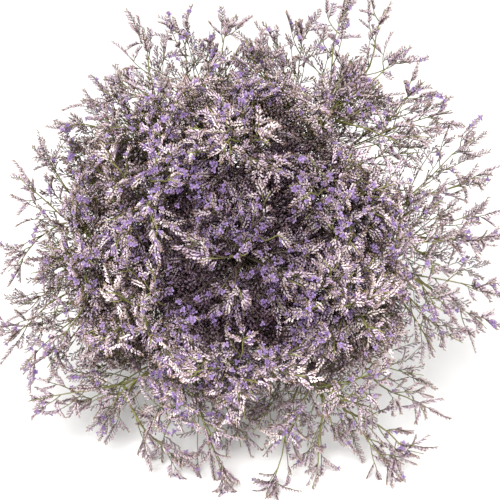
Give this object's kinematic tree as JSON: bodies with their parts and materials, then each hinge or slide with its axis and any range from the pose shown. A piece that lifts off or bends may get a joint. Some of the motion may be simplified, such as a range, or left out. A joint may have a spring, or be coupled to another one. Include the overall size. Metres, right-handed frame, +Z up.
{
  "type": "bunch of dried statice",
  "caption": "Bunch of dried statice with fine branching stems of small violet and cream flowers, tied with an elastic band and lying down.",
  "frame": {"origin": "centre of the bunch's footprint on the surface it lies on", "axes": "+Z up off the surface, +Y along the bunch towards the cut ends of the stalks, +X across it, to the right of one who looks at the head of the bunch along the stalks"},
  "size_m": [0.4532, 0.5406, 0.399],
  "materials": {
    "dried_stem": "dull, slightly waxy dried green",
    "dried_calyx": "papery, matt, cream to mauve",
    "dried_petal": "papery, matt, violet",
    "elastic_band": "satin natural rubber"
  },
  "bodies": {
    "root": {"spray_01": "dried_calyx", "spray_02": "dried_calyx", "spray_03": "dried_calyx", "spray_04": "dried_calyx", "spray_05": "dried_calyx", "spray_06": "dried_calyx", "spray_07": "dried_calyx", "spray_08": "dried_calyx", "spray_09": "dried_calyx", "spray_10": "dried_calyx", "spray_11": "dried_calyx", "spray_12": "dried_calyx", "spray_13": "dried_calyx", "tie_band": "elastic_band"}
  },
  "joints": []
}
